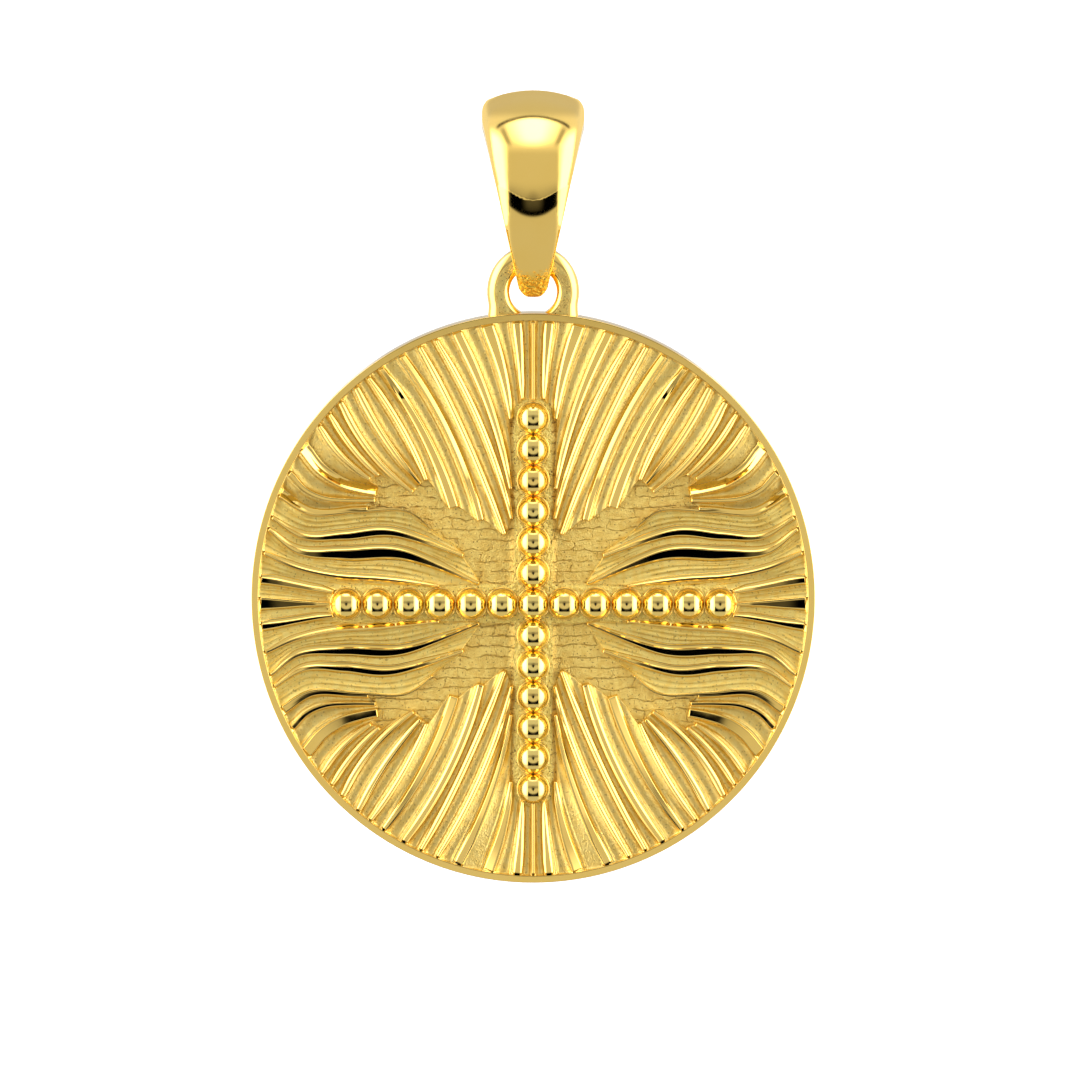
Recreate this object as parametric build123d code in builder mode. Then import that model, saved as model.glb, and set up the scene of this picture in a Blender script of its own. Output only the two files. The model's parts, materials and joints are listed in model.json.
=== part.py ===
from build123d import *
from math import asin, cos, degrees, radians, sin
from typing import NamedTuple
import os

# A cast gold medallion that hangs by its ring on a tapered bail.
# Millimetres, +Z up, the face towards -Y. The origin is the chain's seat, inside the bail's top.

# Bail
bail_width = 4.0            # across its widest, just under the top
bail_foot_width = 1.28      # across the foot, where it passes through the ring
bail_height = 8.05          # from the top of the crown to the underside of the foot
bail_depth = 5.28           # front to back at the shoulders
bail_crown = 0.75           # how far the outside curves in from the middle to each side
bail_inner_crown = 0.4      # the same for the inside
bail_wall = 0.7             # metal over the chain's seat
bail_leg_wall = 0.6         # metal of the legs beside the ring
bail_foot_wall = 0.74       # metal under the ring's wire
bail_foot_room = 0.84       # from the swing axis to the inside of the foot
bail_leg_room = 0.72        # from the swing axis to the inside of the legs
bail_corner_drop = 0.85     # from the top of the crown to the widest width

# Ring at the top of the medallion
ring_hole = 1.85            # diameter of the hole
ring_band = 0.87            # width of the metal round the hole
ring_thickness = 1.0        # front to back
ring_bevel = 0.16           # flat bevels along the ring's edges
ring_overlap = 0.13         # how far the disc's top edge stands up into the hole
swing_gap = 0.1             # room between the bail's foot and the hole's wall
swing_range = 60.0          # degrees, to the front and to the back

# Disc
disc_width = 22.0
disc_height = 22.4
plate_thickness = 1.15      # from the back to the floor of the relief
relief_height = 0.3         # ribs and rim above the floor
rim_width = 0.27            # rolled rim round the relief
rim_round = 0.28            # rounding of the disc's outer edges
rib_end_gap = 0.09          # groove between the ribs' ends and the rim
plate_back = 0.65           # from the swing axis back to the rear face, which balances the disc

# Cross of balls
bead_diameter = 1.19
bead_pitch = 1.215
arm_beads = 6               # balls on each arm, beside the one in the middle
cross_drop = 0.18           # the cross is this far below the disc's middle
bead_rise = 0.3             # from the floor of the relief up to a ball's centre
pad_height = 0.1            # cast pad round the balls
pad_room = 0.59             # radius left open for a ball in the pad
pad_rim = 0.09              # width of the pad's scallops

# Places that follow from the sizes
crown_z = bail_wall
foot_z = crown_z - bail_height
swing_z = foot_z + bail_foot_wall + bail_foot_room
ring_radius = ring_hole / 2 + ring_band
ring_z = swing_z - ring_hole / 2 - ring_band / 2
disc_top_z = ring_z - ring_hole / 2 + ring_overlap
disc_z = disc_top_z - disc_height / 2
cross_z = disc_z - cross_drop

# Places that follow from the sizes of the bail
half_width = bail_width / 2
foot_half = bail_foot_width / 2
corner_z = crown_z - bail_corner_drop
section_reach = half_width + 0.1  # the loop is cut to its width from a little wider
least_step = 0.05                 # closer places on the loop's side view are left out


class SidePlace(NamedTuple):
    """A place on the bail's outside in the side view."""
    drop: float                 # from the crown down, as a share of the height
    reach: float                # from the middle out, as a share of half the depth
    lean: float                 # degrees that the outside faces up


bail_side = [
    SidePlace(0.0373, 0.251, 54.5),
    SidePlace(0.0870, 0.438, 47.5),
    SidePlace(0.1491, 0.621, 40.5),
    SidePlace(0.2112, 0.764, 33.5),
    SidePlace(0.2733, 0.872, 26.0),
    SidePlace(0.3354, 0.947, 17.0),
    SidePlace(0.3975, 0.989, 8.0),
    SidePlace(0.4472, 1.000, 0.0),
    SidePlace(0.4969, 0.989, -8.0),
    SidePlace(0.5466, 0.957, -15.5),
    SidePlace(0.5963, 0.907, -21.0),
    SidePlace(0.6584, 0.827, -25.0),
    SidePlace(0.7329, 0.714, -28.0),
    SidePlace(0.8075, 0.586, -31.0),
    SidePlace(0.8820, 0.441, -34.0),
    SidePlace(0.9499, 0.306, -37.0),
    SidePlace(0.9831, 0.192, -60.0),
]

# Reach of the relief from the middle of the cross: sideways, up and down
reach_side = disc_width / 2
reach_up = disc_height / 2 + cross_drop
reach_down = disc_height / 2 - cross_drop

# Planes that face the front, with X to the right and Z up
rear_plane = Plane.XZ.offset(-plate_back)
floor_plane = Plane.XZ.offset(plate_thickness - plate_back)
front_plane = floor_plane.offset(relief_height)


class FanRib(NamedTuple):
    """A rib of one quarter's fan, in shares of the reach sideways (x) and up (z)."""
    rim_x: float
    rim_z: float
    bend_x: float
    bend_z: float
    root_x: float
    root_z: float
    rim_width: float
    root_width: float


class WaveRib(NamedTuple):
    """A rib of one quarter's waves, which swings down from the rim, up and down to its root."""
    rim_x: float
    rim_z: float
    fall_x: float
    fall_z: float
    trough_x: float
    trough_z: float
    crest_x: float
    crest_z: float
    root_x: float
    root_z: float
    width: float


# One quarter, from the ribs beside the upright of the cross round to its side arm
fan_ribs = [
    FanRib(0.058, 0.977, 0.045, 0.857, 0.038, 0.703, 0.030, 0.006),
    FanRib(0.167, 0.970, 0.096, 0.802, 0.079, 0.634, 0.041, 0.011),
    FanRib(0.272, 0.939, 0.131, 0.684, 0.079, 0.394, 0.032, 0.011),
    FanRib(0.346, 0.914, 0.160, 0.632, 0.075, 0.291, 0.011, 0.011),
    FanRib(0.401, 0.886, 0.250, 0.636, 0.100, 0.237, 0.014, 0.012),
    FanRib(0.465, 0.859, 0.265, 0.601, 0.185, 0.285, 0.018, 0.023),
    FanRib(0.540, 0.818, 0.364, 0.599, 0.281, 0.329, 0.016, 0.034),
    FanRib(0.588, 0.788, 0.455, 0.620, 0.377, 0.425, 0.011, 0.011),
    FanRib(0.627, 0.752, 0.539, 0.563, 0.398, 0.411, 0.018, 0.012),
    FanRib(0.683, 0.704, 0.601, 0.505, 0.423, 0.384, 0.018, 0.011),
    FanRib(0.726, 0.670, 0.660, 0.538, 0.545, 0.441, 0.011, 0.011),
    FanRib(0.758, 0.624, 0.696, 0.502, 0.575, 0.429, 0.011, 0.011),
]
wave_ribs = [
    WaveRib(0.813, 0.545, 0.756, 0.471, 0.685, 0.423, 0.614, 0.401, 0.550, 0.389, 0.032),
    WaveRib(0.861, 0.454, 0.809, 0.396, 0.738, 0.365, 0.650, 0.358, 0.557, 0.358, 0.021),
    WaveRib(0.900, 0.389, 0.784, 0.319, 0.625, 0.324, 0.455, 0.326, 0.355, 0.257, 0.020),
    WaveRib(0.940, 0.312, 0.816, 0.233, 0.667, 0.233, 0.490, 0.243, 0.245, 0.166, 0.012),
    WaveRib(0.949, 0.273, 0.834, 0.183, 0.667, 0.170, 0.455, 0.168, 0.189, 0.069, 0.016),
    WaveRib(0.965, 0.183, 0.845, 0.127, 0.703, 0.096, 0.526, 0.084, 0.331, 0.062, 0.012),
    WaveRib(0.976, 0.084, 0.908, 0.075, 0.841, 0.063, 0.774, 0.051, 0.706, 0.041, 0.012),
]
axis_rib_width = 0.11       # narrow ribs in line with the cross, past its end balls
quarters = [(-1, 1), (1, 1), (-1, -1), (1, -1)]


def on_face(share_x, share_z, quarter):
    """A point of the relief, from shares of the reach in one quarter."""
    side, up = quarter
    reach = reach_up if up > 0 else reach_down
    return Vector(side * share_x * reach_side, cross_z + up * share_z * reach)


def beside(path, widths, side):
    """The path moved sideways by half of its width at each of its points."""
    moved = []
    for index, point in enumerate(path):
        before = path[max(index - 1, 0)]
        after = path[min(index + 1, len(path) - 1)]
        along = (after - before).normalized()
        across = Vector(-along.Y, along.X) * (side * widths[index] / 2)
        moved.append(point + across)
    return moved


def fan_sides(rib, quarter):
    """The two sides of a rib of the fan, each as the three poles of a single bend."""
    path = [
        on_face(rib.rim_x, rib.rim_z, quarter),
        on_face(rib.bend_x, rib.bend_z, quarter),
        on_face(rib.root_x, rib.root_z, quarter),
    ]
    rim, root = rib.rim_width * reach_side, rib.root_width * reach_side
    widths = [rim, (rim + root) / 2, root]
    return beside(path, widths, 1), beside(path, widths, -1)


def wave_sides(rib, quarter):
    """The two sides of a rib of the waves, each as five places on a smooth curve."""
    path = [
        on_face(rib.rim_x, rib.rim_z, quarter),
        on_face(rib.fall_x, rib.fall_z, quarter),
        on_face(rib.trough_x, rib.trough_z, quarter),
        on_face(rib.crest_x, rib.crest_z, quarter),
        on_face(rib.root_x, rib.root_z, quarter),
    ]
    full = rib.width * reach_side
    widths = [full, full, full, full, full / 2]
    return beside(path, widths, 1), beside(path, widths, -1)


def bead_places():
    """Name and place on the face of each ball of the cross."""
    places = []
    for step in range(-arm_beads, arm_beads + 1):
        number = step + arm_beads + 1
        places.append((f"bead_across_{number:02d}", step * bead_pitch, cross_z))
    number = 0
    for step in range(arm_beads, -arm_beads - 1, -1):
        if step != 0:
            number += 1
            places.append((f"bead_upright_{number:02d}", 0.0, cross_z + step * bead_pitch))
    return places


def loop_places(top_inset, leg_inset, foot_inset):
    """Side view of the bail's teardrop loop, moved in from its outside by these distances."""
    top = crown_z - top_inset
    foot = foot_z + foot_inset
    places = []
    for row in bail_side:
        inset = top_inset + (leg_inset - top_inset) * row.drop
        lean = radians(row.lean)
        depth = row.reach * bail_depth / 2 - inset * cos(lean)
        height = crown_z - row.drop * bail_height - inset * sin(lean)
        if depth > least_step and foot + least_step < height < top:
            places.append((depth, height))
    behind = [(-depth, height) for depth, height in reversed(places)]
    return [(0, top)] + places + [(0, foot)] + behind


os.makedirs("parts", exist_ok=True)

# Ring, cast on the disc: its bevels are cut before it joins the disc
with BuildPart() as ring:
    with BuildSketch(Plane.XZ):
        with Locations((0, ring_z)):
            Circle(ring_radius)
            Circle(ring_hole / 2, mode=Mode.SUBTRACT)
    extrude(amount=ring_thickness / 2, both=True)
    chamfer(ring.edges().filter_by(GeomType.CIRCLE), length=ring_bevel)

# Medallion: disc with a rolled rim, a sunk floor, raised ribs, pads round the balls, and the ring
with BuildPart() as medallion:
    with BuildSketch(rear_plane):
        with Locations((0, disc_z)):
            Ellipse(disc_width / 2, disc_height / 2)
    extrude(amount=plate_thickness + relief_height)
    fillet(medallion.edges().filter_by(GeomType.ELLIPSE), radius=rim_round)

    with BuildSketch(front_plane):
        with Locations((0, disc_z)):
            Ellipse(disc_width / 2 - rim_width, disc_height / 2 - rim_width)
    extrude(amount=-relief_height, mode=Mode.SUBTRACT)

    with BuildSketch(floor_plane):
        for quarter in quarters:
            for fan_rib in fan_ribs:
                left_side, right_side = fan_sides(fan_rib, quarter)
                with BuildLine():
                    left = Bezier(*left_side)
                    right = Bezier(*right_side)
                    Line(left @ 0, right @ 0)
                    Line(left @ 1, right @ 1)
                make_face()
            for wave_rib in wave_ribs:
                left_side, right_side = wave_sides(wave_rib, quarter)
                with BuildLine():
                    left = Spline(*left_side)
                    right = Spline(*right_side)
                    Line(left @ 0, right @ 0)
                    Line(left @ 1, right @ 1)
                make_face()
        arm = (arm_beads + 0.5) * bead_pitch
        for up, reach in ((1, reach_up), (-1, reach_down)):
            with Locations((0, cross_z + up * (arm + reach) / 2)):
                Rectangle(axis_rib_width, reach - arm)
        for side in (-1, 1):
            with Locations((side * (arm + reach_side) / 2, cross_z)):
                Rectangle(reach_side - arm, axis_rib_width)
        with Locations((0, disc_z)):
            Ellipse(
                disc_width / 2 - rim_width - rib_end_gap,
                disc_height / 2 - rim_width - rib_end_gap,
                mode=Mode.INTERSECT,
            )
    extrude(amount=relief_height)

    with BuildSketch(floor_plane):
        for _, pad_x, pad_z in bead_places():
            with Locations((pad_x, pad_z)):
                Circle(pad_room + pad_rim)
    extrude(amount=pad_height)
    with BuildSketch(floor_plane):
        for _, pad_x, pad_z in bead_places():
            with Locations((pad_x, pad_z)):
                Circle(pad_room)
    extrude(amount=relief_height, mode=Mode.SUBTRACT)

    add(ring.part)

medallion.part.label = "medallion"
export_step(medallion.part, "parts/medallion.step")

# Balls of the cross, each cut flat where it sits on the floor of the relief
bead_y = plate_back - plate_thickness - bead_rise
for bead_name, bead_x, bead_z in bead_places():
    with BuildPart() as bead:
        with Locations((bead_x, bead_y, bead_z)):
            Sphere(bead_diameter / 2)
        split(bisect_by=floor_plane, keep=Keep.TOP)
    bead.part.label = bead_name
    export_step(bead.part, f"parts/{bead_name}.step")

# Way of the ring round the bail's foot: all but the hole's own section, swept about the axis
# through the swing and the angle that the ring's thickness takes up beside the foot
way_range = swing_range + degrees(asin(ring_thickness / 2 / bail_leg_room))
with BuildPart() as ring_way:
    start_plane = Plane(
        origin=(0, 0, swing_z),
        x_dir=(1, 0, 0),
        z_dir=(0, -cos(radians(way_range)), sin(radians(way_range))),
    )
    with BuildSketch(start_plane):
        with Locations((0, ring_z - swing_z)):
            Rectangle(bail_width, ring_hole + ring_band)
            Circle(ring_hole / 2 - swing_gap, mode=Mode.SUBTRACT)
    revolve(
        axis=Axis((0, 0, swing_z), (1, 0, 0)),
        revolution_arc=2 * way_range,
    )

# Bail: a crowned loop, tapered in the front view, whose foot passes the ring at each angle
with BuildPart() as bail:
    outer_sections = []
    inner_sections = []
    for section_x, share in ((-section_reach, 1), (0, 0), (section_reach, 1)):
        fall = share * bail_crown
        inner_fall = share * bail_inner_crown
        outer = loop_places(fall, fall, fall)
        inner = loop_places(
            bail_wall + inner_fall,
            bail_leg_wall + inner_fall,
            bail_foot_wall + inner_fall,
        )
        for places, sections in ((outer, outer_sections), (inner, inner_sections)):
            with BuildSketch(Plane.YZ.offset(section_x), mode=Mode.PRIVATE) as section:
                with BuildLine():
                    Spline(*places, periodic=True)
                make_face()
            sections.append(section.sketch)
    loft(sections=outer_sections)
    loft(sections=inner_sections, mode=Mode.SUBTRACT)

    # Front view: an arched top, straight sides that close in, and a round foot
    with BuildSketch(Plane.XZ):
        with BuildLine():
            ThreePointArc((-half_width, corner_z), (0, crown_z), (half_width, corner_z))
            Line((half_width, corner_z), (foot_half, foot_z + foot_half))
            ThreePointArc(
                (foot_half, foot_z + foot_half), (0, foot_z), (-foot_half, foot_z + foot_half)
            )
            Line((-foot_half, foot_z + foot_half), (-half_width, corner_z))
        make_face()
    extrude(amount=bail_depth, both=True, mode=Mode.INTERSECT)
    add(ring_way.part, mode=Mode.SUBTRACT)

bail.part.label = "bail"
export_step(bail.part, "parts/bail.step")

for piece in (bail, medallion):
    print(piece.part.label, "volume", round(piece.part.volume, 2), "centre", piece.part.center())
print("swing axis z", round(swing_z, 3), "disc z", round(disc_z, 3), "cross z", round(cross_z, 3))
print("clearance of bail and ring", round(bail.part.distance_to(medallion.part), 4))
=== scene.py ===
import json
from bisect import bisect_right
from math import cos, hypot, pi, radians, sin, sqrt, tan
from typing import NamedTuple

import bpy
import numpy as np
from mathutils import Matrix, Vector


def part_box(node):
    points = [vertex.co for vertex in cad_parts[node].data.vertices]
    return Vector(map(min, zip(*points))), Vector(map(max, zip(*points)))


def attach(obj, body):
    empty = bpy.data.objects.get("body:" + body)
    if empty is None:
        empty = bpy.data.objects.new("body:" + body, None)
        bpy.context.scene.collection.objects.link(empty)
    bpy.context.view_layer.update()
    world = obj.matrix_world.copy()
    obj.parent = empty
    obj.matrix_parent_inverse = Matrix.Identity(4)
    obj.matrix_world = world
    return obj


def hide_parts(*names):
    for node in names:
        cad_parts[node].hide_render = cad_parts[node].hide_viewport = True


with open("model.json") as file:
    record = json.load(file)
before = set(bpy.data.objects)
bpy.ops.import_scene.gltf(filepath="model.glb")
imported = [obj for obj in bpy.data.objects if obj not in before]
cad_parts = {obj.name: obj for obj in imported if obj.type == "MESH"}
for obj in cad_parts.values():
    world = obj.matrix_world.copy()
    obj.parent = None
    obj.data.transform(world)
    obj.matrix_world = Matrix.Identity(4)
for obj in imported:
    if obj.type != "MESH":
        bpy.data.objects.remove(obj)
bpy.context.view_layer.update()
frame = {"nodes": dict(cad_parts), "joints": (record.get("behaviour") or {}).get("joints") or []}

MM = 0.001

# Places and sizes read from the frame
MEDALLION_LOW, MEDALLION_HIGH = (Vector(corner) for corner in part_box("medallion"))
SWING_Z = frame["joints"][0]["pos_m"][2] if frame["joints"] else -5.77 * MM
DISC_WIDTH = MEDALLION_HIGH.x - MEDALLION_LOW.x

# Sizes of the medallion
DISC_HEIGHT = 22.4 * MM
CROSS_DROP = 0.18 * MM
RELIEF_HEIGHT = 0.3 * MM
RIM_WIDTH = 0.27 * MM
RIM_ROUND = 0.28 * MM
FRONT_ROUND = 0.022 * MM
BEAD_RADIUS = 0.595 * MM
BEAD_PITCH = 1.215 * MM
BEAD_RISE = 0.3 * MM
ARM_BEADS = 6
RING_HOLE = 1.85 * MM
RING_BAND = 0.87 * MM
RING_THICKNESS = 1.0 * MM
RING_BEVEL = 0.22 * MM
RING_BEVEL_DEPTH = 0.15 * MM
RING_EDGE = 0.08 * MM  # steep border outside the bevel
RING_FLARE = 0.55 * MM
RING_FLARE_Z = -7.5 * MM
RING_SOFT = 0.045 * MM  # softening of the ring's corners
COLLAR_RADIUS = 0.612 * MM  # the thin cast edge round each ball
COLLAR_THICKNESS = 0.045 * MM
COLLAR_HEIGHT = 1.3  # as a share of its thickness
COLLAR_RISE = 0.02 * MM  # its middle over the raised strip

FRONT_Y = MEDALLION_LOW.y
BACK_Y = MEDALLION_HIGH.y
FLOOR_Y = FRONT_Y + RELIEF_HEIGHT
DISC_Z = MEDALLION_LOW.z + DISC_HEIGHT / 2
CROSS_Z = DISC_Z - CROSS_DROP
RING_Z = SWING_Z - RING_HOLE / 2 - RING_BAND / 2
REACH_SIDE = DISC_WIDTH / 2
REACH_UP = DISC_HEIGHT / 2 + CROSS_DROP
REACH_DOWN = DISC_HEIGHT / 2 - CROSS_DROP

# Sizes of the bail
BAIL_HALF_WIDTH = 1.985 * MM
BAIL_FOOT_HALF = 0.64 * MM
BAIL_HEIGHT = 8.05 * MM
BAIL_HALF_DEPTH = 2.64 * MM
BAIL_TOP_CROWN = 0.11 / MM  # fall of the outside per square of the way to a side: at the top,
BAIL_SIDE_CROWN = 0.17 / MM  # and on the front and back
BAIL_EDGE_CROWN = 0.014 / MM ** 3  # and more of it towards the sides
BAIL_INNER_CROWN = 0.13 / MM
BAIL_WALL = 0.7 * MM
BAIL_LEG_WALL = 0.6 * MM
BAIL_FOOT_WALL = 0.74 * MM
BAIL_CORNER_Z = -0.15 * MM
BAIL_CORNER_ROUND = 0.4 * MM
BAIL_TIP_ROUND = 0.3 * MM
BAIL_EDGE = 0.14 * MM
BAIL_TOP_Z = BAIL_WALL
BAIL_FOOT_Z = BAIL_TOP_Z - BAIL_HEIGHT
SWING_GAP = 0.1 * MM

# Camera
CAMERA_RISE = radians(7.0)
CAMERA_DISTANCE = 280 * MM
VIEW_SPAN = 41.9 * MM
VIEW_CENTRE = Vector((0.15 * MM, -0.5 * MM, -16.7 * MM))
VIEW_BACK = Vector((0.0, -cos(CAMERA_RISE), sin(CAMERA_RISE)))
VIEW_UP = Vector((0.0, sin(CAMERA_RISE), cos(CAMERA_RISE)))
BAIL_VIEW_TOP = 17.36 * MM  # height of the bail's crown in the picture, over the view's centre
SENSOR_MM = 36.0
FLOOR_Z = -60 * MM


class SidePlace(NamedTuple):
    """A place on the bail's outside in the side view."""
    drop: float     # from the crown down, as a share of the height
    reach: float    # from the middle out, as a share of half the depth
    lean: float     # degrees that the outside faces up


BAIL_SIDE = [SidePlace(*row) for row in (
    (0.0373, 0.251, 54.5), (0.0870, 0.438, 47.5), (0.1491, 0.621, 40.5), (0.2112, 0.764, 33.5),
    (0.2733, 0.872, 26.0), (0.3354, 0.947, 17.0), (0.3975, 0.989, 8.0), (0.4472, 1.000, 0.0),
    (0.4969, 0.989, -8.0), (0.5466, 0.957, -15.5), (0.5963, 0.907, -21.0), (0.6584, 0.827, -25.0),
    (0.7329, 0.714, -28.0), (0.8075, 0.586, -31.0), (0.8820, 0.441, -34.0), (0.9499, 0.306, -37.0),
    (0.9831, 0.192, -60.0),
)]


class Glint(NamedTuple):
    """What the bail's front mirrors at one height of the picture."""
    drop: float     # from the crown down, as a share of the bail's height
    up: float       # how far up in the light tent the mirrored place lies
    card: float     # edge of the middle card, as a share of half the width
    box: float      # outer edge of the side boxes, as a share of half the width
    sag: float      # how far the rows' ends climb, as a share of the height


BAIL_GLINTS = [Glint(*row) for row in (
    (0.000, 0.930, 0.80, 0.920, 0.000), (0.053, 0.870, 0.79, 0.910, 0.000),
    (0.109, 0.790, 0.77, 0.900, 0.000), (0.184, 0.650, 0.65, 0.900, 0.000),
    (0.257, 0.510, 0.54, 0.905, 0.000), (0.354, 0.360, 0.60, 0.920, 0.000),
    (0.425, 0.265, 0.65, 0.930, 0.030), (0.470, 0.215, 0.67, 0.930, 0.050),
    (0.520, 0.150, 0.70, 0.935, 0.056), (0.526, -0.400, 0.71, 0.940, 0.056),
    (0.580, -0.435, 0.74, 0.945, 0.050), (0.595, -0.490, 0.76, 0.950, 0.044),
    (0.640, -0.580, 0.83, 0.960, 0.044), (0.718, -0.660, 0.90, 0.970, 0.044),
    (1.010, -0.700, 0.92, 0.980, 0.044),
)]
FOOT_OUTLINE = (  # heights over the foot's lowest point and half widths there
    [0.0, 0.06 * MM, 0.125 * MM, 0.27 * MM, 0.55 * MM, 0.80 * MM],
    [0.33 * MM, 0.41 * MM, 0.48 * MM, 0.57 * MM, 0.63 * MM, 2.00 * MM],
)
BAIL_BOX_END = 0.63  # where the side boxes end on the bail, in the same shares as a drop
BAIL_BOX_FADE = 0.04
SAG_AT = 0.72  # share of half the width where a row has climbed by its sag
GLINT_FACING = 0.01  # least share that a normal faces the camera to be set from the table
GLINT_BLEND = 0.10
STEEPEST = 0.90  # most that such a normal turns from the camera, as a sine
SPLINE_PARTS = 40

# Places in the light tent that the bail's front mirrors
CARD_X = 0.345  # half width of the middle card
HALF_CARD_X = 0.19  # mirrored halfway to the card's edge
BOX_LOW_Z = -0.28  # lowest place of the side boxes
BOX_CENTRE_Z = 0.1  # their outer edge is a circle round this height
BOX_REACH = 0.73
BOX_LEAST_X = 0.47
EDGE_X = 0.82  # mirrored by the bail's very edge


class Rib(NamedTuple):
    """A rib of one quarter, from the rim in. Places and widths are shares of the reach."""
    points: list        # (x, z): rim, bend and root, or rim, fall, trough, crest and root
    widths: tuple       # at the rim and the root
    rolls: tuple        # at the rim, the middle and the root, in an upper quarter
    low_rolls: tuple    # the same in a lower quarter
    bulges: tuple = (0.0, 0.0)      # more width at the middle, in an upper and a lower quarter


# One quarter, from the ribs beside the upright of the cross round to its side arm. The rolls are in
# degrees and turn a rib's top away from the upright.
FAN_RIBS = [
    Rib([(0.058, 0.977), (0.045, 0.857), (0.038, 0.703)], (0.030, 0.006), (0, 0, 0), (0, 3, 0)),
    Rib([(0.167, 0.970), (0.096, 0.802), (0.079, 0.634)], (0.041, 0.011), (0, 2, 4), (23, 20, 6)),
    Rib([(0.272, 0.939), (0.131, 0.684), (0.079, 0.394)], (0.032, 0.011), (4, 8, 3), (10, 22, 14)),
    Rib([(0.346, 0.914), (0.160, 0.632), (0.075, 0.291)], (0.011, 0.011), (0, 0, 0), (0, 0, 0)),
    Rib([(0.401, 0.886), (0.250, 0.636), (0.100, 0.237)], (0.014, 0.012), (0, 6, 0), (0, 0, 0)),
    Rib([(0.465, 0.859), (0.265, 0.601), (0.185, 0.285)], (0.022, 0.023), (-27, -29, -4), (0, 4, 0)),
    Rib([(0.540, 0.818), (0.364, 0.599), (0.281, 0.329)], (0.018, 0.034), (-28, 9, 3), (12, 23, 21)),
    Rib([(0.588, 0.788), (0.455, 0.620), (0.377, 0.425)], (0.011, 0.011), (0, 0, 0), (0, 0, 0)),
    Rib([(0.627, 0.752), (0.539, 0.563), (0.398, 0.411)], (0.018, 0.012), (4, 6, 20), (6, 8, 4)),
    Rib([(0.683, 0.704), (0.601, 0.505), (0.423, 0.384)], (0.018, 0.011), (0, 3, 0), (0, 3, 0)),
    Rib([(0.726, 0.670), (0.660, 0.538), (0.545, 0.441)], (0.011, 0.011), (0, 0, 0), (0, 0, 0)),
    Rib([(0.758, 0.624), (0.696, 0.502), (0.575, 0.429)], (0.011, 0.011), (0, 0, 0), (0, 0, 0)),
]
WAVE_RIBS = [
    Rib([(0.813, 0.545), (0.756, 0.471), (0.685, 0.423), (0.614, 0.401), (0.550, 0.389)],
        (0.042, 0.030), (-45, -47, -46), (6, 8, 4)),
    Rib([(0.861, 0.454), (0.809, 0.396), (0.738, 0.365), (0.650, 0.358), (0.557, 0.358)],
        (0.021, 0.014), (0, 2, 0), (-16, -20, -16)),
    Rib([(0.900, 0.389), (0.784, 0.319), (0.625, 0.324), (0.455, 0.326), (0.355, 0.257)],
        (0.032, 0.010), (-58, -30, 0), (-10, -18, -12)),
    Rib([(0.940, 0.312), (0.816, 0.233), (0.667, 0.233), (0.490, 0.243), (0.245, 0.166)],
        (0.012, 0.014), (0, 20, 2), (0, -20.5, 0), (0.024, 0.022)),
    Rib([(0.949, 0.273), (0.834, 0.183), (0.667, 0.170), (0.455, 0.168), (0.189, 0.069)],
        (0.014, 0.010), (0, 20.5, 10), (-12, -20.5, -14), (0.040, 0.030)),
    Rib([(0.965, 0.183), (0.845, 0.127), (0.703, 0.096), (0.526, 0.084), (0.331, 0.062)],
        (0.014, 0.008), (10, 17, 6), (-18, -8, 0), (0.006, 0.004)),
    Rib([(0.976, 0.084), (0.908, 0.075), (0.841, 0.063), (0.774, 0.051), (0.706, 0.041)],
        (0.036, 0.012), (20, 12, 0), (-20, -20, -14)),
]
SPLIT_RIB = 2  # this wave rib runs on alone past the matte patch
SPLIT_SHARE = 0.56  # share of its length that the ribs before it follow
AXIS_RIB_WIDTH = 0.11 * MM
AXIS_RIB_ENDS = (0.985, 0.70)  # shares of the reach from the middle of the cross
ARM_RIB_ENDS = (0.985, 0.715)
ARM_RIB_WIDTHS = (0.60 * MM, 0.08 * MM)
ARM_RIB_ROLLS = (19, 16, 0)
QUARTERS = {
    "upper_left": (-1, 1), "upper_right": (1, 1), "lower_left": (-1, -1), "lower_right": (1, -1),
}

# Form of the ribs and flutes
EDGE_ROUND = 0.05 * MM  # rounding along the fan ribs' edges
WAVE_ROUND = 0.085 * MM  # and along the waves'
FLUTE_LOW = 0.05 * MM  # lowest level of a flute, over the cast floor
WAVE_SKEW = 0.55  # the waves' flutes are deepest under their upper rib
FLUTE_STEEPNESS = 0.54  # deepest a flute goes, as a share of its width
ROLL_BLEND = 0.36  # share of a rib's length in which its roll turns into the middle's
RIB_LOW = 0.05 * MM  # lowest level of a rib's top where it is rolled to a side
END_BEVEL = 0.14 * MM  # slope from the rim down to the ribs' ends
END_BEVEL_LOW = 0.21 * MM  # level at the foot of that slope
END_NOTCH = 0.152 * MM  # from the rim to the notch between the slope and a rib's end
END_NOTCH_LOW = 0.13 * MM  # level of that notch
FLUTE_END = 0.15 * MM  # length in which a flute's end climbs to the rim
ROOT_END = 0.07 * MM  # length in which a rib's root falls to the floor
FIELD_LEVEL = 0.02 * MM  # level of the matte ground
RIM_LEVEL = 0.29 * MM
PAD_REACH = 0.95 * MM  # from the middle of a row of balls to the edge of the raised strip
PAD_SLOPE = 0.34 * MM
PAD_LEVEL = 0.18 * MM
ROUTE_SAMPLES = 160
START_ROWS = [0, 0.03, 0.06, 0.1, 0.14, 0.152, 0.165, 0.185, 0.24, 0.34]
END_ROWS = [0.16, 0.09, 0.06, 0.035, 0.015, 0]
MIDDLE_ROWS = 76
FLUTE_SHARES = [0.03 + 0.94 * step / 23 for step in range(24)]
FAN_RIDGES = (0.16,)  # fine ridges along the flutes, as shares of the way across
WAVE_RIDGES = (0.34, 0.66)
WAVE_FACET = 0.11 * MM  # slope along the waves' upper edges
WAVE_FACET_SLOPE = tan(radians(54))
FAN_FACETS = (0.045 * MM, 0.045 * MM, tan(radians(38)))  # slopes along both edges of the fan ribs
RIDGE_HEIGHT = 0.045 * MM
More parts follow.
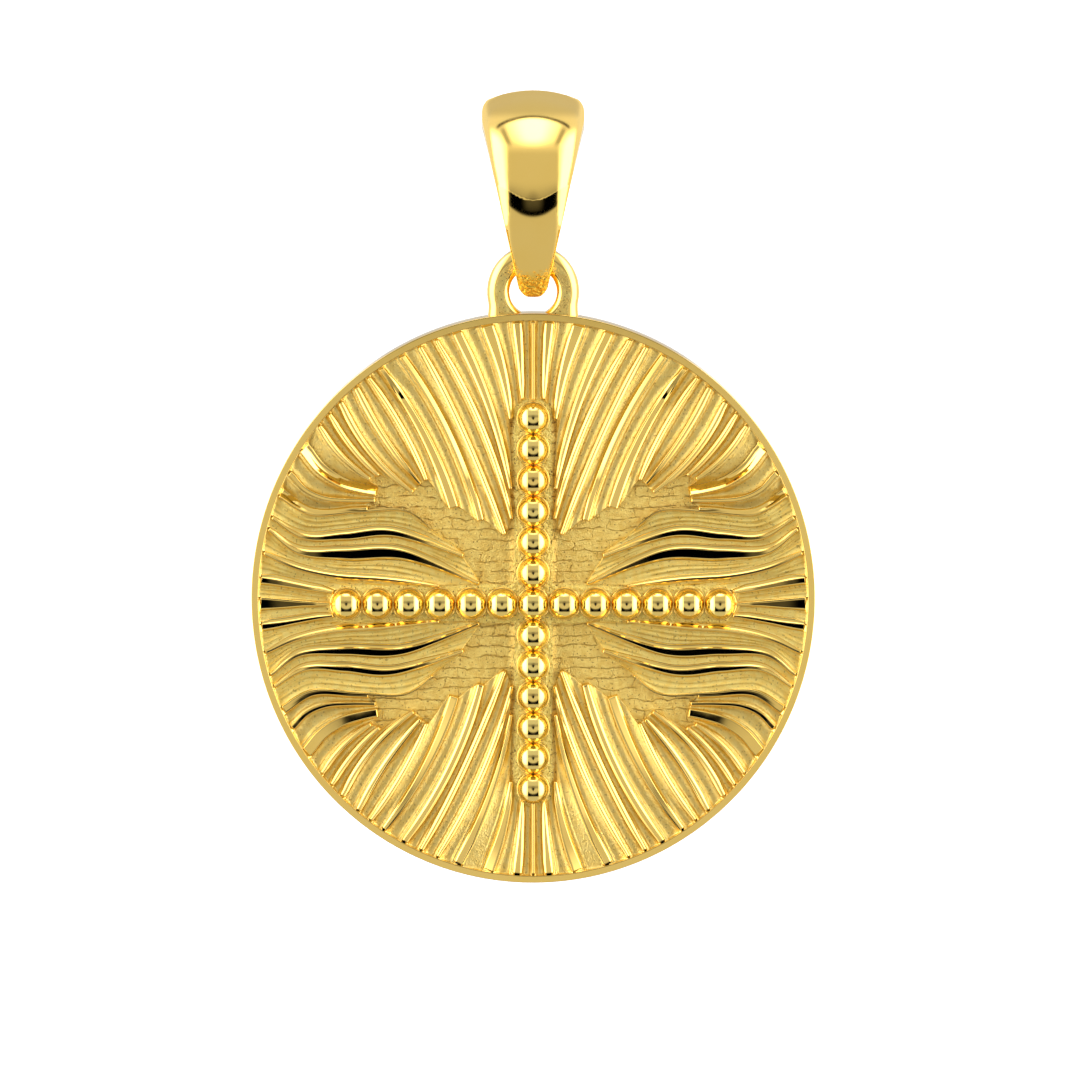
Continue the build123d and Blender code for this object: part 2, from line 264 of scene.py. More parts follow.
RIDGE_HALF = 0.06 * MM
ROUND_TURNS = [radians(angle) for angle in (90, 62, 34)]  # places on a rib's rounded edge
RIDGE_GAP = 0.25 * MM  # flutes wider than this have ridges
RIDGE_GAP_BLEND = 0.2 * MM
RIB_FOOT_DROP = 0.03 * MM
STEEP_ROLL = 30  # degrees from which a rolled rib stands taller
STEEP_ROLL_BLEND = 12
STEEP_RISE = 0.10 * MM
TINY = 1e-12  # keeps a division from zero
NEAR = 1e-9


# Materials

class Nodes:
    """Adds nodes to a tree and links values or sockets to their inputs."""

    def __init__(self, owner):
        owner.use_nodes = True
        self.tree = owner.node_tree
        self.tree.nodes.clear()

    def add(self, kind, inputs=None, **settings):
        node = self.tree.nodes.new(kind)
        for key, value in settings.items():
            setattr(node, key, value)
        for key, value in (inputs or {}).items():
            if isinstance(value, bpy.types.NodeSocket):
                self.tree.links.new(value, node.inputs[key])
            else:
                node.inputs[key].default_value = value
        return node

    def math(self, operation, *values):
        return self.add("ShaderNodeMath", dict(enumerate(values)), operation=operation).outputs[0]

    def vector_math(self, operation, *values, output=0):
        node = self.add("ShaderNodeVectorMath", dict(enumerate(values)), operation=operation)
        return node.outputs[output]

    def product(self, first, *others):
        for other in others:
            first = self.math("MULTIPLY", first, other)
        return first

    def outside(self, amount):
        """1 where the amount is 0, and the other way round."""
        return self.math("SUBTRACT", 1.0, amount)

    def length(self, x, z):
        return self.math("SQRT", self.math("ADD", self.product(x, x), self.product(z, z)))

    def noise(self, place, size, detail=2.0, roughness=0.5, output="Fac"):
        """Cloudy noise with features of about this size."""
        inputs = {"Vector": place, "Scale": 1 / size, "Detail": detail, "Roughness": roughness}
        return self.add("ShaderNodeTexNoise", inputs).outputs[output]

    def step(self, value, low, high):
        """0 before low and 1 past high, with a smooth rise between. high may lie under low."""
        inputs = {"Value": value, "From Min": low, "From Max": high}
        node = self.add("ShaderNodeMapRange", inputs, interpolation_type="SMOOTHSTEP")
        return node.outputs["Result"]

    def mix_colour(self, share, first, second):
        return self.add("ShaderNodeMix", {0: share, 6: first, 7: second}, data_type="RGBA").outputs[2]

    def mix_value(self, share, first, second):
        return self.add("ShaderNodeMix", {0: share, 2: first, 3: second}, data_type="FLOAT").outputs[0]

    def bump(self, height, depth, below=None, invert=False):
        """A shading normal with this height in metres, over the one below it."""
        inputs = {"Height": height, "Distance": depth, "Strength": 1.0}
        if below is not None:
            inputs["Normal"] = below
        return self.add("ShaderNodeBump", inputs, invert=invert).outputs[0]

    def centred(self, noise):
        return self.math("SUBTRACT", noise, 0.5)


# Tones of the gold
GOLD = (0.94, 0.65, 0.17, 1)  # polished
GOLD_PALE = (0.95, 0.67, 0.19, 1)
GOLD_WARM = (0.95, 0.67, 0.175, 1)  # the fan's flutes
GOLD_DEEP = (0.95, 0.72, 0.23, 1)
GOLD_WAVE_PAINTED_LIGHT = (1.0, 0.73, 0.19, 1)  # the waves' flutes, brighter than the fan's flutes: painted light against their dark reflections
GOLD_CREST_PAINTED_LIGHT = (1.0, 0.80, 0.26, 1)
GOLD_SHADY = (0.76, 0.53, 0.135, 1)  # the matte ground
GOLD_SAND = (0.85, 0.65, 0.195, 1)
GOLD_STRIP_PAINTED_LIGHT = (0.99, 0.84, 0.30, 1)  # the cast strips beside the balls, paler partly as painted light against the shade of the balls and ribs
GOLD_CAST = (0.93, 0.73, 0.23, 1)  # balls and ring
# painted shade: the dark of the pits and of the brick lines' grooves
GOLD_PAINTED_SHADE = (0.36, 0.22, 0.06, 1)
GOLD_FOOT = (0.96, 0.60, 0.08, 1)  # the bail's worn foot

# Cast strips beside the balls (partly painted light), brick lines and pits (painted shade), worn foot
# of the bail
STRIP_REACH = 0.74 * MM  # from the middle of a row of balls
STRIP_WAVER = 0.25 * MM
STRIP_FADE = (0.10 * MM, 0.16 * MM)
STRIP_ROUGHER = 0.34
LINE_DEPTH = 0.05 * MM
LINE_PAINTED_SHADE = 0.6
CAST_WAVES = (0.16 * MM, 0.22 * MM)  # size and depth
FOOT_WEAR = (0.14 * MM, 0.10 * MM)
FOOT_WAVER = 0.5 * MM
FOOT_FADE = (-0.5 * MM, 0.05 * MM)
FOOT_ROUGHER = 0.2
PIT_SIZE = 0.085 * MM
PIT_EDGE = (0.70, 0.76)


def brick_lines(nodes, place):
    """1 along thin uneven courses like those of a dry wall, seen from the front, and 0 between them."""
    waver = nodes.noise(place, 0.7 * MM, detail=3.0, output="Color")
    shift = nodes.vector_math("SUBTRACT", waver, (0.5, 0.5, 0.5))
    shift = nodes.vector_math("MULTIPLY", shift, (0.8 * MM, 0.0, 0.45 * MM))
    parts = nodes.add("ShaderNodeSeparateXYZ", {"Vector": nodes.vector_math("ADD", place, shift)})
    flat = nodes.add("ShaderNodeCombineXYZ", {"X": parts.outputs["X"], "Y": parts.outputs["Z"]})
    brick = nodes.add(
        "ShaderNodeTexBrick",
        {"Vector": flat.outputs[0], "Scale": 1 / MM, "Mortar Size": 0.03, "Mortar Smooth": 0.7,
         "Brick Width": 1.5, "Row Height": 0.42},
        offset=0.37, offset_frequency=2, squash=1.0,
    )
    broken = nodes.step(nodes.noise(place, 0.5 * MM, detail=1.0), 0.36, 0.5)
    return nodes.product(brick.outputs["Fac"], broken)


def near_the_cross(nodes, place):
    """1 in the cast strips along both bars of the cross, and 0 away from them."""
    parts = nodes.add("ShaderNodeSeparateXYZ", {"Vector": place})
    waver = nodes.product(nodes.noise(place, 0.5 * MM), STRIP_WAVER)
    bars = []
    for value in (parts.outputs["X"], nodes.math("SUBTRACT", parts.outputs["Z"], CROSS_Z)):
        away = nodes.math("ADD", nodes.math("ABSOLUTE", value), waver)
        bars.append(nodes.outside(nodes.step(away, *(STRIP_REACH + fade for fade in STRIP_FADE))))
    return nodes.math("MAXIMUM", *bars)


def gold_material(name, rough, grain, cloud_size, tones, pits=0.0, cast=False, foot=None):
    """Yellow gold.

    rough: lowest and highest roughness; grain: size and depth; pits: how dark their painted shade is;
    cast: lines (painted shade) and strips (partly painted light) of the ground; foot: the height where
    the worn foot begins.
    """
    material = bpy.data.materials.new(name)
    nodes = Nodes(material)
    place = nodes.add("ShaderNodeTexCoord").outputs["Object"]
    cloud = nodes.noise(place, cloud_size, detail=3.0)
    height = nodes.noise(place, grain[0], detail=3.0, roughness=0.6)
    colour = nodes.mix_colour(nodes.step(cloud, 0.35, 0.65), *tones)
    roughness = nodes.add(
        "ShaderNodeMapRange",
        {"Value": cloud, "From Min": 0.3, "From Max": 0.7, "To Min": rough[0], "To Max": rough[1]},
    ).outputs["Result"]
    normal = nodes.bump(height, grain[1])
    if cast:
        strip = near_the_cross(nodes, place)
        lines = nodes.product(brick_lines(nodes, place), nodes.outside(strip))
        normal = nodes.bump(lines, LINE_DEPTH, normal, invert=True)
        # painted shade darkens the grooves of the brick lines, over their bump
        colour = nodes.mix_colour(nodes.product(lines, LINE_PAINTED_SHADE), colour, GOLD_PAINTED_SHADE)
        # the strips' paler colour is partly painted light against the shade of the balls and ribs
        colour = nodes.mix_colour(strip, colour, GOLD_STRIP_PAINTED_LIGHT)
        roughness = nodes.math("ADD", roughness, nodes.product(strip, STRIP_ROUGHER))
        waves = nodes.centred(nodes.noise(place, CAST_WAVES[0]))
        normal = nodes.bump(nodes.product(waves, strip), CAST_WAVES[1], normal)
    if foot:
        parts = nodes.add("ShaderNodeSeparateXYZ", {"Vector": place})
        worn = nodes.noise(place, FOOT_WEAR[0])
        depth = nodes.math("SUBTRACT", foot, parts.outputs["Z"])
        depth = nodes.math("SUBTRACT", depth, nodes.product(worn, FOOT_WAVER))
        low = nodes.step(depth, *FOOT_FADE)
        roughness = nodes.math("ADD", roughness, nodes.product(low, FOOT_ROUGHER))
        colour = nodes.mix_colour(low, colour, GOLD_FOOT)
        normal = nodes.bump(nodes.product(nodes.centred(worn), low), FOOT_WEAR[1], normal)
    # Dark specks of painted shade where small pits would be; no dent is made for them
    if pits:
        spots = nodes.step(nodes.noise(place, PIT_SIZE, detail=0.0), *PIT_EDGE)
        colour = nodes.mix_colour(nodes.product(spots, pits), colour, GOLD_PAINTED_SHADE)
    shader = nodes.add(
        "ShaderNodeBsdfPrincipled",
        {"Base Color": colour, "Metallic": 1.0, "Roughness": roughness, "Normal": normal},
    )
    nodes.add("ShaderNodeOutputMaterial", {"Surface": shader.outputs[0]})
    return material


polished = gold_material(
    "gold_polished", (0.03, 0.06), (0.5 * MM, 0.0006 * MM), 2.0 * MM, (GOLD, GOLD_PALE),
)
bail_gold = gold_material(
    "gold_bail", (0.08, 0.11), (0.8 * MM, 0.0002 * MM), 3.0 * MM, (GOLD, GOLD_PALE),
    foot=BAIL_FOOT_Z + 1.0 * MM,
)
bead_gold = gold_material(
    "gold_beads", (0.11, 0.13), (0.4 * MM, 0.0002 * MM), 1.5 * MM, (GOLD_PALE, GOLD_CAST),
)
flute_gold = gold_material(
    "gold_flutes", (0.30, 0.44), (0.07 * MM, 0.024 * MM), 0.3 * MM, (GOLD_WARM, GOLD_DEEP), pits=0.5,
)
# brighter tones than the fan's flutes: painted light on the waves' flutes
wave_gold = gold_material(
    "gold_waves", (0.44, 0.54), (0.07 * MM, 0.024 * MM), 0.3 * MM, (GOLD_WAVE_PAINTED_LIGHT, GOLD_CREST_PAINTED_LIGHT), pits=0.5,
)
ground_gold = gold_material(
    "gold_ground", (0.34, 0.46), (0.06 * MM, 0.055 * MM), 0.2 * MM, (GOLD_SHADY, GOLD_SAND),
    pits=0.9, cast=True,
)
lug_gold = gold_material(
    "gold_lug", (0.24, 0.36), (0.10 * MM, 0.030 * MM), 0.3 * MM, (GOLD_PALE, GOLD_CAST), pits=1.0,
)
back_gold = gold_material(
    "gold_back", (0.13, 0.16), (0.12 * MM, 0.0015 * MM), 0.8 * MM, (GOLD, GOLD_PALE),
)


# Meshes

def new_object(name, places, faces, materials):
    mesh = bpy.data.meshes.new(name)
    mesh.from_pydata(places, [], faces)
    for material in materials:
        mesh.materials.append(material)
    piece = bpy.data.objects.new(name, mesh)
    bpy.context.scene.collection.objects.link(piece)
    return piece


def mesh_piece(name, body, places, faces, materials, slots=None):
    """A smooth-shaded mesh that rides on a body. slots gives each face its material's number."""
    piece = new_object(name, places, faces, materials)
    mesh = piece.data
    mesh.polygons.foreach_set("use_smooth", [True] * len(mesh.polygons))
    if slots:
        mesh.polygons.foreach_set("material_index", slots)
    mesh.update()
    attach(piece, body)
    return piece


def grid_faces(rows, columns, wrap_rows=False, wrap_columns=False, flip=False):
    """The quads of a grid of points that is stored row by row."""
    faces = []
    for row in range(rows if wrap_rows else rows - 1):
        here, above = row * columns, (row + 1) % rows * columns
        for column in range(columns if wrap_columns else columns - 1):
            beside = (column + 1) % columns
            face = (here + column, here + beside, above + beside, above + column)
            faces.append(face[::-1] if flip else face)
    return faces


def lerp(first, second, share):
    return first + (second - first) * share


def lerp_all(first, second, share):
    return tuple(lerp(a, b, share) for a, b in zip(first, second))


def clamp(value):
    """The value, held between 0 and 1."""
    return min(max(value, 0.0), 1.0)


def ease(share):
    """The share with a smooth start and end."""
    return share * share * (3 - 2 * share)


def circle_angles(count):
    return [2 * pi * step / count for step in range(count)]


# Relief: the ribs' routes, as flat points (x, z) of one quarter before it is mirrored

def bezier(poles, share):
    rest = 1 - share
    return tuple(rest * rest * a + 2 * rest * share * b + share * share * c for a, b, c in zip(*poles))


def through(points, share):
    """A smooth curve through the points, at a share of the way from the first to the last."""
    spans = len(points) - 1
    span = min(int(share * spans), spans - 1)
    t = share * spans - span
    before = points[max(span - 1, 0)]
    start, end = points[span], points[span + 1]
    after = points[min(span + 2, spans)]
    return tuple(
        0.5 * (
            2 * b + (c - a) * t + (2 * a - 5 * b + 4 * c - d) * t * t + (3 * b - a - 3 * c + d) * t ** 3
        )
        for a, b, c, d in zip(before, start, end, after)
    )


class Route:
    """A rib's middle line, measured by its length, with its width and roll."""

    def __init__(self, curve, widths, rolls, up, end_share=1.0, bulge=0.0, facets=(0, 0, 0)):
        reach = REACH_UP if up > 0 else REACH_DOWN
        self.points = []
        for step in range(ROUTE_SAMPLES + 1):
            x, z = curve(step / ROUTE_SAMPLES * end_share)
            self.points.append((x * REACH_SIDE, z * reach))
        self.points = self.from_rim(self.points, up)
        self.lengths = [0.0]
        for (x0, z0), (x1, z1) in zip(self.points, self.points[1:]):
            self.lengths.append(self.lengths[-1] + hypot(x1 - x0, z1 - z0))
        self.length = self.lengths[-1]
        self.widths, self.rolls = widths, rolls
        self.bulge, self.facets = bulge, facets

    @staticmethod
    def from_rim(points, up):
        """The route with its start moved to the inner edge of the rim."""
        drop = CROSS_DROP * up
        inner_x = REACH_SIDE - RIM_WIDTH
        inner_z = DISC_HEIGHT / 2 - RIM_WIDTH

        def outside(point):
            return hypot(point[0] / inner_x, (point[1] - drop) / inner_z) - 1

        first = 0
        while first < len(points) - 2 and outside(points[first + 1]) > 0:
            first += 1
        a, b = points[first], points[first + 1]
        share = outside(a) / (outside(a) - outside(b))
        return [lerp_all(a, b, share)] + points[first + 1:]

    def at(self, distance):
        """Place, direction and width at a distance from the rim."""
        distance = min(max(distance, 0.0), self.length)
        index = min(bisect_right(self.lengths, distance) - 1, len(self.points) - 2)
        span = self.lengths[index + 1] - self.lengths[index] or TINY
        share = (distance - self.lengths[index]) / span
        place = lerp_all(self.points[index], self.points[index + 1], share)
        low, high = max(index - 2, 0), min(index + 3, len(self.points) - 1)
        dx = self.points[high][0] - self.points[low][0]
        dz = self.points[high][1] - self.points[low][1]
        size = hypot(dx, dz) or TINY
        share = distance / self.length
        width = lerp(*self.widths, share) + self.bulge * sin(pi * share) ** 2
        return *place, dx / size, dz / size, width

    def roll_at(self, distance):
        """The roll at a distance from the rim, from those at the rim, the middle and the root."""
        place = clamp(distance / self.length)
        first, middle, last = self.rolls
        share = clamp(min(place, 1 - place) / ROLL_BLEND)
        return lerp(first if place < 0.5 else last, middle, ease(share))


def row_distances(length):
    """Distances from the rim of the rows of points along a rib of this length."""
    head = [value * MM for value in START_ROWS]
    tail = [length - value * MM for value in END_ROWS]
    start, end = head[-1], tail[0]
    middle = [lerp(start, end, (step + 1) / (MIDDLE_ROWS + 1)) for step in range(MIDDLE_ROWS)]
    return head + middle + tail


def rib_columns(width, roll, sides, rounding, facets):
    """Offsets across a rib and its heights there, from the side near the upright outwards.

    facets holds the widths of the slopes along the edges, near the upright first, and their slope.
    """
    near_facet, far_facet, facet_slope = facets
    half = width / 2
    round_off = min(rounding, half * 0.6)
    flat = half - round_off

    def edge(sign, wide):
        columns = [
            (flat + wide + round_off * sin(turn), wide * facet_slope + round_off * (1 - cos(turn)))
            for turn in ROUND_TURNS
        ]
        if wide:
            columns.extend((flat + wide * part, wide * facet_slope * part) for part in (1, 0.2))
        columns.extend([(flat, 0.0), (flat * 0.8, 0.0)])
        return [(sign * offset, drop) for offset, drop in columns]

    near, far = edge(1, near_facet), edge(-1, far_facet)[::-1]
    middle = [(0.0, 0.0)]
    chosen = {"both": near + middle + far, "near": near + middle, "far": middle + far}[sides]
    slope = tan(radians(roll))
    steep = clamp((abs(roll) - STEEP_ROLL) / STEEP_ROLL_BLEND)
    tallest = RELIEF_HEIGHT + steep * STEEP_RISE - abs(slope) * half
    return [
        (offset, max(tallest + slope * offset - drop, RIB_LOW - min(drop, RIB_FOOT_DROP)))
        for offset, drop in chosen
    ]


def quarter_arc(share):
    """The height of a quarter circle, from 0 to 1 as the share does."""
    return sqrt(max(0.0, 1 - (1 - share) ** 2))


def end_level(level, distance, is_rib):
    """The height with the slope, notch or climb that ends a rib or flute at the rim."""
    if is_rib:
        if distance <= END_BEVEL + NEAR:
            return lerp(RIM_LEVEL, END_BEVEL_LOW, distance / END_BEVEL)
        if distance <= END_NOTCH + NEAR:
            return END_NOTCH_LOW
    elif distance < FLUTE_END:
        return lerp(RIM_LEVEL, level, quarter_arc(distance / FLUTE_END))
    return level


def root_level(level, left):
    """The height with the fall that ends a rib or flute at its root."""
    if left < ROOT_END:
        return lerp(FIELD_LEVEL - 0.01 * MM, level, quarter_arc(left / ROOT_END))
    return level


def flute_points(edge, next_edge, gap, skew, ridges):
    """Points across the flute between two ribs' edges."""
    ex, ez, e_distance, e_left, near = edge
    fx, fz, f_distance, f_left, far = next_edge
    depth = min(min(near, far) - FLUTE_LOW, FLUTE_STEEPNESS * gap)
    ridge_height = clamp((gap - RIDGE_GAP) / RIDGE_GAP_BLEND) * RIDGE_HEIGHT
    points = []
    for share in FLUTE_SHARES:
        skewed = share ** skew if skew > 0 else 1 - (1 - share) ** -skew
        bowl = (1 - abs(2 * skewed - 1) ** 2.4) ** 0.85
        level = lerp(near, far, share) - depth * bowl
        level += ridge_height * sum(
            max(0.0, 1 - ((share - middle) * gap / RIDGE_HALF) ** 2) for middle in ridges
        )
        level = end_level(level, lerp(e_distance, f_distance, share), False)
        level = root_level(level, lerp(e_left, f_left, share))
        points.append((lerp(ex, fx, share), lerp(ez, fz, share), level, False))
    return points


def sheet_rows(routes, rounding, skew, ridges):
    """Rows of points (x, z, height, is_rib) across all the routes, from the rim to the roots."""
    distances = [row_distances(route.length) for route in routes]
    last = len(routes) - 1
    rows = []
    for index in range(len(distances[0])):
        row = []
        last_edge = None
        for number, route in enumerate(routes):
            distance = distances[number][index]
            left = route.length - distance
            away = distance / route.length
            x, z, dx, dz, width = route.at(distance)
            sides = "far" if number == 0 else "near" if number == last else "both"
            fade = max(min(6 * away, 5 * (1 - away), 1.0), 0.02)
            facets = (route.facets[0] * fade, route.facets[1] * fade, route.facets[2])
            rib, edges = [], []
            for offset, own in rib_columns(width, route.roll_at(distance), sides, rounding, facets):
                px, pz = x + dz * offset, z - dx * offset
                rib.append((px, pz, root_level(end_level(own, distance, True), left), True))
                edges.append((px, pz, distance, left, own))
            if last_edge:
                gap = abs((edges[0][0] - last_edge[0]) * dz - (edges[0][1] - last_edge[1]) * dx)
                row.extend(flute_points(last_edge, edges[0], gap, skew, ridges))
            row.extend(rib)
            last_edge = edges[-1]
        rows.append(row)
    return rows


def onto_rim(x, z, up, share):
    """Moves a point out or in along its radius by a share of the way to the rim's inner edge."""
    drop = CROSS_DROP * up
    radius = hypot(x / (REACH_SIDE - RIM_WIDTH), (z - drop) / (DISC_HEIGHT / 2 - RIM_WIDTH))
    scale = lerp(1.0, 1.0 / radius, share)
    return x * scale, (z - drop) * scale + drop


def relief_sheet(name, routes, quarter, rounding, ridges, flute_material, skew=1.0):
    """One mesh of ribs and flutes, mirrored into its quarter. skew moves the flutes' deepest line."""
    side, up = quarter
    rows = sheet_rows(routes, rounding, skew, ridges)
    columns = len(rows[0])
    places = []
    for index, row in enumerate(rows):
        away = START_ROWS[index] if index < len(START_ROWS) else START_ROWS[-1]
        share = max(0.0, 1 - away / START_ROWS[-1]) ** 1.5
        for x, z, level, _ in row:
            x, z = onto_rim(x, z, up, share)
            places.append((side * x, FLOOR_Y - level, CROSS_Z + up * z))
    faces = grid_faces(len(rows), columns, flip=side * up > 0)
    on_rib = [is_rib for *_, is_rib in rows[0]]
    slots = [0 if here or beside else 1 for here, beside in zip(on_rib, on_rib[1:])] * (len(rows) - 1)
    mesh_piece(name, "medallion", places, faces, [polished, flute_material], slots)


def quarter_routes(up):
    """The routes of one quarter's ribs: those before the split rib, and those from it on."""
    upper = up > 0
    before = [Route(
        lambda t: (0.0, lerp(*AXIS_RIB_ENDS, t)), (AXIS_RIB_WIDTH, AXIS_RIB_WIDTH), (0, 0, 0), up,
    )]
    after = []
    for rib in FAN_RIBS:
        widths = [width * REACH_SIDE for width in rib.widths]
        rolls = rib.rolls if upper else rib.low_rolls
        before.append(Route(
            lambda t, points=rib.points: bezier(points, t), widths, rolls, up, facets=FAN_FACETS,
        ))
    for number, rib in enumerate(WAVE_RIBS):
        curve = lambda t, points=rib.points: through(points, t)
        widths = [width * REACH_SIDE for width in rib.widths]
        rolls = rib.rolls if upper else rib.low_rolls
        if number < SPLIT_RIB:
            before.append(Route(curve, widths, rolls, up))
        elif number == SPLIT_RIB:
            split_widths = (widths[0], lerp(*widths, SPLIT_SHARE))
            before.append(Route(curve, split_widths, rolls, up, SPLIT_SHARE))
            after.append(Route(curve, widths, rolls, up))
        else:
            bulge = rib.bulges[0 if upper else 1] * REACH_SIDE
            facets = (max(WAVE_FACET * up, 0.0), max(-WAVE_FACET * up, 0.0), WAVE_FACET_SLOPE)
            after.append(Route(curve, widths, rolls, up, bulge=bulge, facets=facets))
    rolls = tuple(roll if upper else -roll for roll in ARM_RIB_ROLLS)
    after.append(Route(lambda t: (lerp(*ARM_RIB_ENDS, t), 0.0), ARM_RIB_WIDTHS, rolls, up))
    return before, after


for quarter_name, quarter in QUARTERS.items():
    fan, waves = quarter_routes(quarter[1])
    relief_sheet(f"relief_fan_{quarter_name}", fan, quarter, EDGE_ROUND, FAN_RIDGES, flute_gold)
    relief_sheet(
        f"relief_waves_{quarter_name}", waves, quarter, WAVE_ROUND, WAVE_RIDGES, wave_gold,
        skew=WAVE_SKEW * quarter[1],
    )


# Disc: ground of the relief, rim, outer wall and back

QUARTER_TURN = [radians(angle) for angle in range(0, 91, 15)]
BACK_INSETS = (0.6 * MM, 1.5 * MM, 4.0 * MM, 7.5 * MM)
GROUND_STEPS = 230


def disc_profile():
    """Inset from the outline and place in depth, from the relief's edge round to the back."""
    profile = [(RIM_WIDTH, FLOOR_Y - RIM_LEVEL)]
    profile += [(inset, FRONT_Y) for inset in (RIM_WIDTH * 0.95, RIM_WIDTH * 0.90, FRONT_ROUND * 1.6)]
    for turn in QUARTER_TURN:
        profile.append((FRONT_ROUND * (1 - sin(turn)), FRONT_Y + FRONT_ROUND * (1 - cos(turn))))
    profile.append((0.0, lerp(FRONT_Y, BACK_Y, 0.5)))
    for turn in QUARTER_TURN:
        profile.append((RIM_ROUND * (1 - cos(turn)), BACK_Y - RIM_ROUND * (1 - sin(turn))))
    return profile + [(inset, BACK_Y) for inset in BACK_INSETS]


def disc_piece():
    """The rim, the outer wall and the back, closed at its middle."""
    turns = 360
    profile = disc_profile()
    count = len(profile)
    places = []
    for turn in circle_angles(turns):
        for inset, y in profile:
            x = (DISC_WIDTH / 2 - inset) * sin(turn)
            z = DISC_Z + (DISC_HEIGHT / 2 - inset) * cos(turn)
            places.append((x, y, z))
    faces = grid_faces(turns, count, wrap_rows=True, flip=True)
    first_back = count - 1 - len(BACK_INSETS)
    slots = [1 if min(corner % count for corner in face) >= first_back else 0 for face in faces]
    centre = len(places)
    places.append((0.0, BACK_Y, DISC_Z))
    for step in range(turns):
        next_step = (step + 1) % turns
        faces.append((next_step * count + count - 1, centre, step * count + count - 1))
        slots.append(1)
    return mesh_piece("disc_rim_and_back", "medallion", places, faces, [polished, back_gold], slots)


def ground_piece():
    """The matte ground between the ribs, raised in a strip round the balls of each bar."""
    steps = GROUND_STEPS
    inner_x, inner_z = REACH_SIDE - RIM_WIDTH, DISC_HEIGHT / 2 - RIM_WIDTH
    bars = ((ARM_BEADS * BEAD_PITCH, 0.0), (0.0, ARM_BEADS * BEAD_PITCH))
    places = []
    numbers = {}
    for row in range(steps + 1):
        for column in range(steps + 1):
            x = inner_x * (2 * column / steps - 1)
            z = inner_z * (2 * row / steps - 1)
            if hypot(x / inner_x, z / inner_z) > 1:
                continue
            away = min(
                hypot(max(abs(x) - reach_x, 0.0), max(abs(z + DISC_Z - CROSS_Z) - reach_z, 0.0))
                for reach_x, reach_z in bars
            )
            level = lerp(FIELD_LEVEL, PAD_LEVEL, ease(clamp((PAD_REACH - away) / PAD_SLOPE)))
            numbers[row, column] = len(places)
            places.append((x, FLOOR_Y - level, z + DISC_Z))
    faces = []
    for row, column in numbers:
        corners = [(row, column), (row, column + 1), (row + 1, column + 1), (row + 1, column)]
        if all(corner in numbers for corner in corners):
            faces.append(tuple(numbers[corner] for corner in corners))
    mesh_piece("matte_ground", "medallion", places, faces, [ground_gold])


disc = disc_piece()
ground_piece()
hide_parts("medallion")


# Ring cast on the disc

def ring_piece():
    turns = 160
    inner, outer = RING_HOLE / 2, RING_HOLE / 2 + RING_BAND
    half = RING_THICKNESS / 2
    bevel, depth = RING_BEVEL, RING_BEVEL_DEPTH
    corners = [
        (inner, half - depth), (inner, depth - half), (inner + bevel * 0.8, -half),
        (outer - bevel - RING_EDGE, -half), (outer - RING_EDGE, depth - half),
        (outer, depth * 2 - half), (outer, half - depth), (outer - bevel, half),
        (inner + bevel * 0.8, half),
    ]
    profile = []
    for index, corner in enumerate(corners):
        for other in (corners[index - 1], corners[(index + 1) % len(corners)]):
            share = min(RING_SOFT / hypot(other[0] - corner[0], other[1] - corner[1]), 0.4)
            profile.append(lerp_all(corner, other, share))
    places = []
    for turn in circle_angles(turns):
        for radius, y in profile:
            low = (RING_FLARE_Z - RING_Z - radius * cos(turn)) / RING_FLARE
            if radius > (inner + outer) / 2 and low > 0:
                radius += 0.5 * RING_FLARE * min(low, 1.3) ** 2
            places.append((radius * sin(turn), y, RING_Z + radius * cos(turn)))
    faces = grid_faces(turns, len(profile), wrap_rows=True, wrap_columns=True, flip=True)
    front = -half + 0.001 * MM
    slots = [1 if sum(places[index][1] for index in face) / 4 < front else 0 for face in faces]
    mesh_piece("ring_lug", "medallion", places, faces, [polished, lug_gold], slots)


ring_piece()


# Balls of the cross and the cast edges round them

def ball_piece(name, centre):
    rings, turns = 28, 44
    places = []
    for ring_number in range(rings + 1):
        tilt = pi * ring_number / rings
        for turn in circle_angles(turns):
            places.append((
                centre.x + BEAD_RADIUS * sin(tilt) * cos(turn),
                centre.y - BEAD_RADIUS * cos(tilt),
                centre.z + BEAD_RADIUS * sin(tilt) * sin(turn),
            ))
    faces = grid_faces(rings + 1, turns, wrap_columns=True, flip=True)
    piece = mesh_piece(
        f"{name}_polished", "medallion", places, faces, [bead_gold],
    )
    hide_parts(name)


def collar_piece(centres):
    """Thin raised edges cast round the balls, one circle for each."""
    turns, sides = 72, 8
    level = FLOOR_Y - PAD_LEVEL - COLLAR_RISE
    loop = grid_faces(turns, sides, wrap_rows=True, wrap_columns=True, flip=True)
    places = []
    faces = []
    for centre in centres:
        start = len(places)
        for turn in circle_angles(turns):
            for angle in circle_angles(sides):
                radius = COLLAR_RADIUS + COLLAR_THICKNESS * cos(angle)
                places.append((
                    centre.x + radius * cos(turn),
                    level - COLLAR_THICKNESS * COLLAR_HEIGHT * sin(angle),
                    centre.z + radius * sin(turn),
                ))
        faces.extend(tuple(start + index for index in face) for face in loop)
    mesh_piece("ball_collars", "medallion", places, faces, [polished])


bead_centres = []
for bead_name in frame["nodes"]:
    if bead_name.startswith("bead_"):
        low, high = (Vector(corner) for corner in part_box(bead_name))
        bead_centre = (low + high) / 2
        bead_centre.y = FLOOR_Y - BEAD_RISE
        bead_centres.append(bead_centre)
        ball_piece(bead_name, bead_centre)
collar_piece(bead_centres)


# Bail

